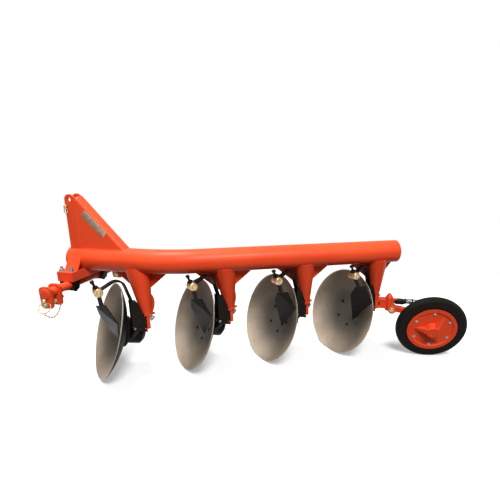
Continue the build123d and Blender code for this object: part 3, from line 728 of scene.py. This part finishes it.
ringLook = {
    "nose": 0.012, "hang": (0.10, 0.62, -0.78), "drop": 0.018, "back": 0.010, "long": 0.034, "wide": 0.040,
    "wire": 0.0036, "stem": 0.0060, "stemHalf": 0.024, "knobRise": 0.026,
    "knob": [(0, -0.012), (0.009, -0.011), (0.012, -0.004), (0.012, 0.004), (0.009, 0.011), (0, 0.012)],
}


def makeLinchRing(word, side, nose):
    # a wire ring that hangs from a stem through the pin's nose, with a knob on the stem
    hang = unit(np.array(ringLook["hang"]) * (1, side, 1))
    wide = unit(np.cross(hang, side * nearward))
    middle = nose + hang * ringLook["drop"] + backward * ringLook["back"]
    ring = oval(middle, hang * ringLook["long"], wide * ringLook["wide"], 48)
    stem = nose + np.linspace(-1, 1, 9)[:, None] * upward * ringLook["stemHalf"]
    shapes = [tube(ring, ringLook["wire"], 12, True, unit(np.cross(hang, wide)))]
    shapes.append(tube(stem, ringLook["stem"], 16, False, -backward))
    shapes.append(laid(lathe(ringLook["knob"], 20), nose + upward * ringLook["knobRise"], *along(upward)))
    return addPiece(f"linchRing_{word}", *joined(shapes), "yellow_zinc")


chainLook = {
    "path": [(0.440, 0.316, 0.545), (0.425, 0.250, 0.445), (0.432, 0.186, 0.566)],
    "links": 13, "wire": 0.0019, "long": 0.72, "wide": 2.6,
}


def makeChain():
    # oval links, each turned a quarter against the last, along a parabola with the path's ends and pull
    first, pull, last = [spot(*place) for place in chainLook["path"]]
    steps = np.linspace(0, 1, chainLook["links"] + 1)[:, None]
    line = (1 - steps) ** 2 * first + 2 * steps * (1 - steps) * pull + steps ** 2 * last
    wire = chainLook["wire"]
    shapes = []
    for k in range(chainLook["links"]):
        heading = unit(line[k + 1] - line[k])
        x, y, _ = along(heading)
        wide = x if k % 2 else y
        length = np.linalg.norm(line[k + 1] - line[k]) * chainLook["long"]
        ring = oval((line[k] + line[k + 1]) / 2, heading * length, wide * wire * chainLook["wide"], 20)
        shapes.append(tube(ring, wire, 8, True, np.cross(heading, wide)))
    return addPiece("linchChain", *joined(shapes), "yellow_zinc")


capLook = {
    "sunk": 0.0035,
    "rows": [(0, -0.001), (0.0365, -0.001), (0.036, 0.0020), (0.031, 0.0050), (0.020, 0.0070), (0, 0.0075)],
}


def makeEndCaps():
    # a shallow dome on each end of the shaft
    dome = lathe(capLook["rows"], 48)
    shapes = []
    for side, end in shaftLook["ends"].items():
        place = spot(shaftLook["ahead"], end - side * capLook["sunk"], shaftLook["height"])
        shapes.append(laid(dome, place, *along(side * nearward)))
    return addPiece("shaftEndCaps", *joined(shapes), "red_paint")


bolsterLook = {
    "height": 0.743, "ahead": (0.437, 0.509), "sides": (0.060, -0.233), "nut": 0.0160, "length": 0.030,
}
clevisLook = {"height": 0.611, "ahead": 0.424, "corner": 0.010}
clampLook = {"height": 0.614, "ahead": (0.432, 0.498), "sides": (0.0523, -0.2256), "corner": 0.011}


def gridOfPlaces(look):
    return [spot(x, y, look["height"]) for x in look["ahead"] for y in look["sides"]]


def makeBolsterStuds():
    size, length = bolsterLook["nut"], bolsterLook["length"]
    studs = [stud(place, upward, size, length) for place in gridOfPlaces(bolsterLook)]
    return addPiece("bolsterStuds", *joined(studs), "bright_zinc", smooth=False)


def makeClevisBolts():
    # one on the inner plate of each clevis
    rows = []
    for side, middle in pinLook["middle"].items():
        place = spot(clevisLook["ahead"], middle - side * pinLook["half"], clevisLook["height"])
        rows.append((place, -side * nearward, clevisLook["corner"]))
    return addBolts("clevisBolts", rows, "black_paint")


def makeClampBolts():
    # heads under the shaft's clamps
    rows = [(place, -upward, clampLook["corner"]) for place in gridOfPlaces(clampLook)]
    return addBolts("shaftClampBolts", rows, "black_paint")


makeShaft()
for word, side in (("left", 1), ("right", -1)):
    makeLinchRing(word, side, makePin(word, side))
makeChain()
makeBolsterStuds()
makeEndCaps()
makeClevisBolts()
makeClampBolts()
print("hitch made")

# mast: bare plate, the keeper for the top pin, welds
mastLook = {"sheetHalf": 0.039, "barHalf": 0.041, "barBack": 0.437}
plateLook = {
    "ends": [(0.2395, 0.9700), (0.3845, 1.1195)], "half": 0.0235, "thickness": 0.0014, "round": 0.006,
    "edge": 0.0004,
    "rivetInset": (0.008, 0.007),
    "rivet": [(0, 0.0002), (0.0034, 0.0002), (0.0032, 0.0012), (0.0018, 0.0020), (0, 0.0022)],
}


def makeMastPlate():
    # a long rounded rectangle laid on the near side of the folded sheet, with four rivets
    first, last = [np.array(end) for end in plateLook["ends"]]
    length = np.linalg.norm(last - first)
    heading = (last - first) / length
    r, half = plateLook["round"], plateLook["half"]
    quarter = np.radians(np.linspace(0, 90, 6))
    outline = []
    for turn, (endward, sideward) in enumerate(((1, 1), (-1, 1), (-1, -1), (1, -1))):
        spread = quarter + turn * np.pi / 2
        reach = endward * (length / 2 - r) + r * np.cos(spread)
        across = sideward * (half - r) + r * np.sin(spread)
        outline.append(np.column_stack((reach, across)))
    middle = spot((first + last)[0] / 2, beamSide + mastLook["sheetHalf"], (first + last)[1] / 2)
    x = np.array((heading[0], 0, heading[1]))
    y = np.cross(nearward, x)
    plate = slab(np.vstack(outline), plateLook["thickness"], plateLook["edge"])
    shapes = [laid(plate, middle, x, y, nearward)]
    rivet = lathe(plateLook["rivet"], 14)
    endInset, sideInset = plateLook["rivetInset"]
    for endward in (-1, 1):
        for sideward in (-1, 1):
            at = middle + x * endward * (length / 2 - endInset) + y * sideward * (half - sideInset)
            shapes.append(laid(rivet, at + nearward * plateLook["thickness"], x, y, nearward))
    return addPiece("mastPlateBare", *joined(shapes), "yellow_zinc", finish=plateFinish)


keeperLook = {
    "ahead": 0.499, "height": 1.158,
    "loopFrom": (0.002, 0.010, -0.026), "long": 0.021, "wide": 0.012, "wire": 0.0030,
    "pin": [
        (0, -0.004), (0.006, -0.004), (0.006, 0.003), (0.0115, 0.004), (0.0115, 0.016),
        (0.0085, 0.020), (0, 0.021),
    ],
}


def makeKeeper():
    # a short headed pin in the near bar's front with a wire loop hung on it
    place = spot(keeperLook["ahead"], beamSide + mastLook["barHalf"], keeperLook["height"])
    addPiece("keeperPin", *laid(lathe(keeperLook["pin"], 24), place, *along(nearward)), "yellow_zinc")
    middle = place + keeperLook["loopFrom"]
    loop = oval(middle, upward * keeperLook["long"], -backward * keeperLook["wide"], 40)
    return addPiece("keeperLoop", *tube(loop, keeperLook["wire"], 10, True, nearward), "yellow_zinc")


weldLook = {
    "radius": 0.0042, "ripple": 0.14, "pitch": 0.008, "step": 0.002, "thin": 0.2,
    "flat": 0.0005, "atBar": 0.002,         # how near a corner lies to the sheet's side, to the bar
}


def bead(first, last):
    # a straight weld: the section swells once every pitch and thins out at both ends
    length = np.linalg.norm(last - first)
    steps = np.linspace(0, 1, int(length / weldLook["step"]))
    ripple = 1 + weldLook["ripple"] * np.sin(2 * np.pi * steps * length / weldLook["pitch"])
    toEnd = np.minimum(steps, 1 - steps) * length
    thinned = np.clip(toEnd / (2 * weldLook["radius"]), weldLook["thin"], 1)
    path = first + steps[:, None] * (last - first)
    return tube(path, weldLook["radius"] * ripple * thinned, 10, False, nearward)


def makeMastWelds():
    # along the bars' rear edges and along the beam, up to the ends of the sheet's own sides
    solid = cadNodes["mast_plate"].data
    corners = np.empty(3 * len(solid.vertices))
    solid.vertices.foreach_get("co", corners)
    corners = corners.reshape(-1, 3) - legFloor
    barBack, sheetHalf = mastLook["barBack"], mastLook["sheetHalf"]
    flat = corners[np.abs(corners[:, 1] - beamSide - sheetHalf) < weldLook["flat"]]
    atBar = flat[np.abs(flat[:, 0] - barBack) < weldLook["atBar"]]
    low, high, rear = flat[:, 2].min(), atBar[:, 2].max(), flat[:, 0].min()
    beads = []
    for side in (-1, 1):
        y = beamSide + side * sheetHalf
        beads.append(bead(spot(barBack, y, low), spot(barBack, y, high)))
        beads.append(bead(spot(rear, y, low), spot(barBack, y, low)))
    return addPiece("mastWelds", *joined(beads), "red_paint")


makeMastPlate()
makeKeeper()
makeMastWelds()
print("mast fittings made")

# scrapers: square-headed set bolts, yellow clamp bolts
scraperLook = {
    "clamp": (0.185, 0.311, 0.152), "lean": 38.0, "stud": 0.0085, "length": 0.080, "start": 0.022,
    "thread": 0.026, "pitch": 0.0022, "depth": 0.0009,
    "head": 0.0165, "headThick": 0.012, "crown": (0.003, 0.003, 0.004), "inHead": 0.002,
    "lock": [(0, 0.029), (0.0185, 0.029), (0.0185, 0.040), (0.016, 0.042), (0, 0.042)],
    "side": 0.036, "sideCorner": 0.0125,
}


def makeScraperFittings(number):
    # a threaded rod with a square head and a lock nut, leaning ahead, and a bolt on each side of the clamp
    place, level, rise, axle = axesOf(f"disc_{number}_spin")
    across, height, ahead = scraperLook["clamp"]
    middle = place + level * across + rise * height + axle * ahead
    lean = np.radians(scraperLook["lean"])
    axes = along(rise * np.cos(lean) + axle * np.sin(lean))
    r, start, length = scraperLook["stud"], scraperLook["start"], scraperLook["length"]
    wide, under = scraperLook["head"], length - scraperLook["headThick"]
    inset, edge, top = scraperLook["crown"]
    thread = threadRows(r, scraperLook["thread"], under, scraperLook["pitch"], scraperLook["depth"])
    end = under + scraperLook["inHead"]
    head = [(0, under), (wide, under), (wide, length), (wide - inset, length + edge), (0, length + top)]
    shapes = [
        lathe(np.vstack(((0, start), (r, start), thread, (r, end), (0, end))), 20),
        lathe(head, 4),
        lathe(scraperLook["lock"], 6),
    ]
    setBolt = joined([laid(shape, middle, *axes) for shape in shapes])
    reach, corner = scraperLook["side"], scraperLook["sideCorner"]
    return setBolt, joined([bolt(middle + level * s * reach, level * s, corner) for s in (1, -1)])


setBolts, sideBolts = zip(*[makeScraperFittings(number) for number in range(1, discCount + 1)])
addPiece("setBolts", *joined(setBolts), "black_paint", replaced=("scraper_studs",), smooth=False)
addPiece("clampBolts", *joined(sideBolts), "yellow_zinc", smooth=False)

# feet: bolts through the carrier's web, a bushed stud behind each foot
legLook = {"lipAcross": 0.127, "lipBehind": 0.240, "lipHeight": 0.422, "footHalf": 0.011}
footLook = {
    "webFront": -0.1359, "webAcross": (0.109, 0.145), "webRise": 0.076, "corner": 0.0125,
    "low": 0.030, "bush": 0.015, "bushLength": 0.015, "nut": 0.018, "length": 0.024,
}


def lipOf(number):
    # middle of a leg's lip, as high as its disc's middle, and the way its disc faces in plan
    place, level, _, axle = axesOf(f"disc_{number}_spin")
    heading = unit((axle[0], axle[1], 0))
    return place + level * legLook["lipAcross"] - heading * legLook["lipBehind"], heading


def webBolts(number):
    # two through the carrier's web
    place, level, rise, axle = axesOf(f"disc_{number}_spin")
    seat = rise * footLook["webRise"] + axle * footLook["webFront"]
    return [(place + level * across + seat, axle, footLook["corner"]) for across in footLook["webAcross"]]


def footStud(number):
    # a round bush with a nutted stud on it
    lip, heading = lipOf(number)
    height = legFloor[2] + legLook["lipHeight"] - footLook["low"]
    behind = np.array((lip[0], lip[1], height)) - heading * legLook["footHalf"]
    wide, length = footLook["bush"], footLook["bushLength"]
    bush = lathe([(0, 0), (wide, 0), (wide, length), (0, length)], 28)
    nut = stud(behind - heading * length, -heading, footLook["nut"], footLook["length"])
    return joined([laid(bush, behind, *along(-heading)), nut])


footBolts = [row for number in range(1, discCount + 1) for row in webBolts(number)]
addBolts("footBolts", footBolts, "bright_zinc")
footStuds = [footStud(number) for number in range(1, discCount)]     # the wheel's bracket is on the last foot
addPiece("footStuds", *joined(footStuds), "bright_zinc", smooth=False)
print("scraper and foot fittings made")

# wheel suspension: fork, sleeve with bands, rod, pivot and fork bolts, measured behind the last lip
springLook = {
    "height": 0.398, "front": 0.168, "tube": 0.228, "length": 0.122, "back": 0.396,
    "radius": 0.019, "inset": 0.003, "over": 0.001, "shoulder": 0.002,
    "rod": 0.011, "inside": 0.01,           # the rod starts inside the sleeve
    "bands": ((0.010, 0.012), (0.064, 0.010), (0.114, 0.012)),      # place along the sleeve, width
    "bandRise": (-0.002, 0.0022, 0.0030),
}
sideAxes = (backward, upward, nearward)     # of a flat outline that stands upright along the plough


def behindLip(distance, side, height):
    lip, _ = lipOf(discCount)
    return np.array((lip[0] - distance, lip[1] + side, legFloor[2] + height))


def makeSleeve():
    # a chamfered tube with raised bands and a rod out of its rear end
    axes = along(backward)
    start = behindLip(springLook["tube"], 0, springLook["height"])
    r, length, rod = springLook["radius"], springLook["length"], springLook["rod"]
    over = springLook["over"]
    ends = [(0, -over), (r - springLook["inset"], -over), (r, springLook["shoulder"])]
    sleeve = lathe(ends + [(radius, length - at) for radius, at in reversed(ends)], 40)
    addPiece("springSleeve", *laid(sleeve, start, *axes), "bright_zinc", replaced=("wheel_spring",))
    inside, shoulder, crest = [r + rise for rise in springLook["bandRise"]]
    shapes = []
    for at, wide in springLook["bands"]:
        low, high = at - wide / 2, at + wide / 2
        band = [(inside, low), (shoulder, low), (crest, at), (shoulder, high), (inside, high)]
        shapes.append(lathe(band + band[:1], 40))
    hidden = length - springLook["inside"]
    reach = springLook["back"] - springLook["tube"]
    shapes.append(lathe([(0, hidden), (rod, hidden), (rod, reach), (0, reach)], 28))
    return addPiece("springBands", *joined([laid(shape, start, *axes) for shape in shapes]), "black_paint")


forkLook = {
    "cheek": [
        (0.0, -0.017), (0.050, -0.017), (0.062, -0.012), (0.062, 0.012), (0.050, 0.017), (0.0, 0.017),
        (-0.012, 0.010), (-0.012, -0.010),
    ],
    "sides": (-0.0115, 0.0255), "thickness": 0.012, "edge": 0.0015,
    "tieBehind": 0.050, "tieRadius": 0.016, "tieLength": 0.014,
}


def makeFork():
    # two cheeks with a round tie behind them
    front, height = springLook["front"], springLook["height"]
    cheek = slab(forkLook["cheek"], forkLook["thickness"], forkLook["edge"])
    shapes = []
    for side in forkLook["sides"]:
        shapes.append(laid(cheek, behindLip(front, side, height), *sideAxes))
    r, length = forkLook["tieRadius"], forkLook["tieLength"]
    tie = lathe([(0, 0), (r, 0), (r, length), (0, length)], 28)
    shapes.append(laid(tie, behindLip(front + forkLook["tieBehind"], 0, height), *along(backward)))
    return addPiece("springFork", *joined(shapes), "black_paint")


pivotLook = {
    "fork": (0.014, 0.0115),                # behind the fork's front, bolt's corner
    "pivot": (0.140, 0.046, 0.334, 0.0165),     # behind the lip, half width, height, bolt's corner
    "rodEnd": (0.015, 0.017, 0.0105),       # behind the rod's end, to the near side, nut's corner
}


def makePivotBolts():
    # heads towards the near side, nuts on the far side, and the nut at the rod's end
    forkBehind, forkCorner = pivotLook["fork"]
    pivotBehind, pivotHalf, pivotHeight, pivotCorner = pivotLook["pivot"]
    endBehind, endSide, endCorner = pivotLook["rodEnd"]
    height = springLook["height"]
    rows = {}
    for side, forkSide in zip((-1, 1), forkLook["sides"]):
        fork = behindLip(springLook["front"] + forkBehind, forkSide, height)
        pivot = behindLip(pivotBehind, side * pivotHalf, pivotHeight)
        rows[side] = [(fork, side * nearward, forkCorner), (pivot, side * nearward, pivotCorner)]
    rows[-1].append((behindLip(springLook["back"] + endBehind, endSide, height), nearward, endCorner))
    addBolts("pivotBolts", rows[1], "yellow_zinc")
    addBolts("pivotNuts", rows[-1], "bright_zinc")


coverLook = {
    "place": (0.050, 0.029, 0.374), "half": (0.0395, 0.0275), "thickness": 0.004, "edge": 0.0008,
    "slotFrom": (0.010, 0.0038, 0.002), "slotRadius": 0.0055, "slotReach": 0.008,
    "slotThick": 0.0008, "slotEdge": 0.0003,
}


def makeBracketCover():
    # a plate let into the open side of the bracket, with a thin black sheet on it as painted shade inside its
    # slot
    at = behindLip(*coverLook["place"])
    wide, tall = coverLook["half"]
    corners = [(-wide, -tall), (wide, -tall), (wide, tall), (-wide, tall)]
    cover = slab(corners, coverLook["thickness"], coverLook["edge"])
    addPiece("bracketCover", *laid(cover, at, *sideAxes), "red_paint", smooth=False)
    # the slot is a black sheet on the plate, not a hole: painted shade
    turn = turns(32)
    r, ends = coverLook["slotRadius"], coverLook["slotReach"] * np.sign(np.sin(turn) + 1e-9)
    outline = np.column_stack((r * np.cos(turn), r * np.sin(turn) + ends))
    slot = slab(outline, coverLook["slotThick"], coverLook["slotEdge"])
    shape = laid(slot, at + coverLook["slotFrom"], *sideAxes)
    return addPiece("bracketSlot", *shape, "black_paint", smooth=False)


makeSleeve()
makeFork()
makePivotBolts()
makeBracketCover()
print("wheel suspension made")


# studio: a wide pale floor, soft lamps, pale surroundings
def shownRays(wire):
    # 1 for rays that show the backdrop: to the camera, by a mirror or through glass
    node = wire.add("LightPath").socket.node
    names = ("Is Camera Ray", "Is Glossy Ray", "Is Transmission Ray")
    seen, glossy, through = [Wire(wire.tree, node.outputs[name]) for name in names]
    return seen.most(glossy.most(through))


floorLook = {
    "half": 60.0, "bounce": (0.06, 0.056, 0.052), "shown": (0.80, 0.80, 0.80), "lift": 0.36,
    "near": 1.7, "far": 4.2,
}


def makeFloor():
    # a flat square at z = 0: white with the shadow left in it, plain white further out, a dim bounce
    half, lift = floorLook["half"], floorLook["lift"]
    mesh = bpy.data.meshes.new("studioFloor")
    corners = [(-half, -half, 0), (half, -half, 0), (half, half, 0), (-half, half, 0)]
    mesh.from_pydata(corners, [], [(0, 1, 2, 3)])
    floor = bpy.data.objects.new("studioFloor", mesh)
    bpy.context.scene.collection.objects.link(floor)
    material, wire, place, shader = newMaterial("studioFloor", specular=0.0, roughness=1.0)
    shown = shownRays(wire)
    distance = wire.add("VectorMath", {"operation": "LENGTH"}, {0: place}, output="Value")
    far = distance.between(floorLook["near"], floorLook["far"])
    nearColour = shown.tint(floorLook["bounce"], floorLook["shown"])
    glow = shown * (lift + far * (1 - lift))
    feed((far * shown).tint(nearColour, (0, 0, 0)), shader, "Base Color")
    feed(glow.tint((0, 0, 0), (1, 1, 1)), shader, "Emission Color")
    shader.inputs["Emission Strength"].default_value = 1.0
    mesh.materials.append(material)
    return floor


lamps = [       # name, place, target, size, power
    ("overhead", (2.1, 0.2, 6.8), (0.0, 0.0, 0.4), 2.0, 490.0),
    ("key", (-2.6, 5.3, 7.1), (0.0, 0.0, 0.5), 3.0, 790.0),
]


def makeLamp(name, place, target, size, power):
    light = bpy.data.lights.new(name, "AREA")
    light.shape = "DISK"
    light.size = size
    light.energy = power
    lamp = bpy.data.objects.new(name, light)
    lamp.location = place
    lamp.rotation_euler = (Vector(target) - Vector(place)).to_track_quat("-Z", "Y").to_euler()
    bpy.context.scene.collection.objects.link(lamp)
    return lamp


skyLook = {"light": 0.12, "shown": 1.0}


def makeSky():
    # white where it is seen, dim as a light
    world = bpy.data.worlds.new("studio")
    bpy.context.scene.world = world
    world.use_nodes = True
    background = world.node_tree.nodes["Background"]
    background.inputs["Color"].default_value = (1, 1, 1, 1)
    strength = shownRays(Wire(world.node_tree)) * (skyLook["shown"] - skyLook["light"]) + skyLook["light"]
    feed(strength, background, "Strength")
    return world


makeFloor()
for row in lamps:
    makeLamp(*row)
makeSky()
bpy.context.scene.view_settings.view_transform = "Standard"

# camera: as the picture was taken, placed from the first disc
cameraLook = {
    "fromDisc": (-1.6941, 2.0685, 1.1093),
    "forward": (0.199, -0.949, -0.246),
    "roll": 0.2,
    "lens": 26.7,
    "shift": (-0.072, 0.020),
}


def makeCamera():
    data = bpy.data.cameras.new("camera")
    data.sensor_width = 36.0
    data.lens = cameraLook["lens"]
    data.shift_x, data.shift_y = cameraLook["shift"]
    camera = bpy.data.objects.new("camera", data)
    facing = Vector(cameraLook["forward"]).to_track_quat("-Z", "Y").to_matrix()
    roll = Matrix.Rotation(np.radians(cameraLook["roll"]), 3, "Z")
    place = np.array(joints["disc_1_spin"]["pos_m"]) + cameraLook["fromDisc"]
    camera.matrix_world = Matrix.Translation(place.tolist()) @ (facing @ roll).to_4x4()
    bpy.context.scene.collection.objects.link(camera)
    bpy.context.scene.camera = camera


makeCamera()
print("studio and camera set")
